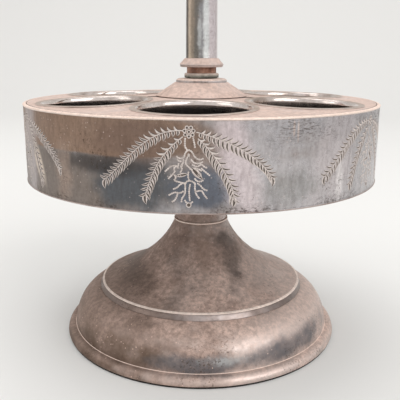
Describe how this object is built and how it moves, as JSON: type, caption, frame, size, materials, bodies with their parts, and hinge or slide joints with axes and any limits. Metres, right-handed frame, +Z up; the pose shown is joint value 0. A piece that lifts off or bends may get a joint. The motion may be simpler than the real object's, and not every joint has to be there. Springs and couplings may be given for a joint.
{
  "type": "cruet stand",
  "caption": "Revolving cruet stand: a deep engraved drum with lipped bottle openings turns on a domed spun foot, under a tall plain post with a carrying loop.",
  "frame": {"origin": "on the table at the centre of the foot", "axes": "+Z up the post; -Y towards the front bottle opening; the carrying loop lies in the XZ plane"},
  "size_m": [0.1806, 0.1806, 0.3999],
  "materials": {
    "foot_silver": "worn silver plate, warm brown tarnish and dust",
    "drum_silver": "polished silver plate, tarnished and engraved",
    "dusty_silver": "silver plate under matt pinkish dust",
    "lip_silver": "rubbed bright silver plate",
    "post_silver": "polished silver plate with fine pitting",
    "bare_copper": "oxidised copper",
    "green_washer": "dark green corroded brass",
    "bearing_brass": "dull brass",
    "spindle_steel": "dull steel"
  },
  "bodies": {
    "stand": {"foot_shell": "foot_silver", "pedestal_skirt": "foot_silver", "neck_ring": "lip_silver", "spool_neck": "foot_silver", "seat_washer": "bearing_brass", "spindle": "spindle_steel", "clamp_washer": "spindle_steel", "clamp_nut": "spindle_steel", "friction_washer": "green_washer", "copper_neck": "bare_copper", "post_collar": "dusty_silver", "post_tube": "post_silver", "handle_ferrule": "post_silver", "handle_loop": "post_silver"},
    "carousel": {"drum_wall": "drum_silver", "top_rim": "lip_silver", "bottom_rim": "lip_silver", "top_plate": "dusty_silver", "floor_plate": "dusty_silver", "centre_cone": "dusty_silver", "moulded_disc": "dusty_silver", "drum_bush": "bearing_brass", "drum_boss": "bearing_brass", "well_collar_1": "lip_silver", "well_collar_2": "lip_silver", "well_collar_3": "lip_silver", "well_collar_4": "lip_silver", "well_collar_5": "lip_silver", "well_collar_6": "lip_silver"}
  },
  "joints": [
    {"name": "drum_spin", "type": "hinge", "parent": "stand", "child": "carousel", "pos_m": [0, 0, 0.1], "axis": [0, 0, 1], "continuous": true}
  ]
}
